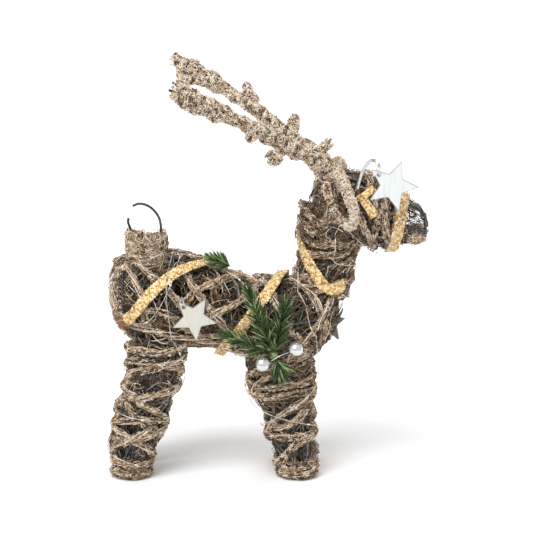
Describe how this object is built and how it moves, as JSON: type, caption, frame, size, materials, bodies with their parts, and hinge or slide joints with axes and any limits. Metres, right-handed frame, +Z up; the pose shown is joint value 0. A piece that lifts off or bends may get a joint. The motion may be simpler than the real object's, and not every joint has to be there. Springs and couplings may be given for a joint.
{
  "type": "light up yard reindeer",
  "caption": "Standing reindeer made of a wire frame wrapped in rope, with antlers, hanging wooden stars, gold ribbons, a pine sprig and a battery case for fine wire lights",
  "frame": {"origin": "middle of the object's box, on the floor under the feet", "axes": "+X points to the nose, +Y to the reindeer's left side, +Z up"},
  "size_m": [0.2964, 0.1822, 0.3766],
  "materials": {
    "steel_wire": "dark grey steel wire, satin, slightly worn",
    "rope": "rough natural jute fibre with copper and gold glitter",
    "ribbon": "plaited metallic gold ribbon",
    "painted_wood": "matt white paint on thin wood",
    "silver_wire": "bright silver coloured fine wire",
    "pine": "artificial pine needles",
    "pearl": "silver pearl lacquer",
    "case_plastic": "black moulded plastic",
    "cell": "wrapped dry cell",
    "contact": "nickel plated spring steel",
    "board": "green circuit board"
  },
  "bodies": {
    "deer": {"torso_frame": "steel_wire", "neck_frame": "steel_wire", "head_frame": "steel_wire", "leg_frame_rear_left": "steel_wire", "leg_frame_rear_right": "steel_wire", "leg_frame_front_left": "steel_wire", "leg_frame_front_right": "steel_wire", "antler_wire_left": "steel_wire", "antler_wire_right": "steel_wire", "ear_wire_left": "steel_wire", "ear_wire_right": "steel_wire", "tail_wire": "steel_wire", "torso_wrap": "rope", "neck_wrap": "rope", "head_wrap": "rope", "jaw_wrap": "rope", "leg_wrap_rear_left": "rope", "leg_wrap_rear_right": "rope", "leg_wrap_front_left": "rope", "leg_wrap_front_right": "rope", "tail_wrap": "rope", "antler_wrap_left": "rope", "antler_wrap_right": "rope", "ear_wrap_left": "rope", "ear_wrap_right": "rope", "rump_ribbon": "ribbon", "shoulder_ribbon": "ribbon", "neck_ribbon": "ribbon", "muzzle_ribbon": "ribbon", "cheek_ribbon": "ribbon", "flank_staple": "silver_wire", "chest_staple": "silver_wire", "face_hook": "silver_wire", "pearl_wire": "silver_wire", "light_wire_front": "silver_wire", "light_wire_rear": "silver_wire", "pine_branch_1": "pine", "pine_branch_2": "pine", "pine_branch_3": "pine", "pine_branch_4": "pine", "sprig_tie": "pine", "pine_tip_back": "pine", "pearl_1": "pearl", "pearl_2": "pearl", "battery_case": "case_plastic", "case_end_cap": "case_plastic", "cable_tie": "case_plastic", "battery_cell_1": "cell", "battery_cell_2": "cell", "contact_plate": "contact", "contact_tab_1": "contact", "contact_tab_2": "contact", "circuit_board": "board"},
    "flank_ring_body": {"flank_ring": "silver_wire"},
    "flank_star_body": {"flank_star": "painted_wood"},
    "face_star_body": {"face_star": "painted_wood"},
    "chest_ring_body": {"chest_ring": "silver_wire"},
    "chest_star_body": {"chest_star": "painted_wood"},
    "battery_lid_body": {"battery_lid": "case_plastic"},
    "switch_slider_body": {"switch_slider": "case_plastic"}
  },
  "joints": [
    {"name": "flank_ring_swing", "type": "hinge", "parent": "deer", "child": "flank_ring_body", "pos_m": [-0.07553, -0.05502, 0.17505], "axis": [0.9536, 0.3011, 0], "range_deg": [-60, 4]},
    {"name": "flank_star_swing", "type": "hinge", "parent": "flank_ring_body", "child": "flank_star_body", "pos_m": [-0.07402, -0.05502, 0.1675], "axis": [0, 1, 0], "range_deg": [-5, 80]},
    {"name": "face_star_swing", "type": "hinge", "parent": "deer", "child": "face_star_body", "pos_m": [0.10222, -0.04002, 0.28665], "axis": [0, 1, 0], "range_deg": [-10, 50]},
    {"name": "chest_ring_swing", "type": "hinge", "parent": "deer", "child": "chest_ring_body", "pos_m": [0.05964, 0.04048, 0.15024], "axis": [0.8, -0.6, 0], "range_deg": [-4, 60]},
    {"name": "chest_star_swing", "type": "hinge", "parent": "chest_ring_body", "child": "chest_star_body", "pos_m": [0.05964, 0.04048, 0.14254], "axis": [0.6018, 0.7986, 0], "range_deg": [-45, 45]},
    {"name": "battery_lid_hinge", "type": "hinge", "parent": "deer", "child": "battery_lid_body", "pos_m": [-0.07107, -0.00002, 0.1198], "axis": [0, 1, 0], "range_deg": [0, 90]},
    {"name": "switch_slide", "type": "slide", "parent": "deer", "child": "switch_slider_body", "axis": [0, 1, 0], "range_m": [0, 0.004]}
  ]
}
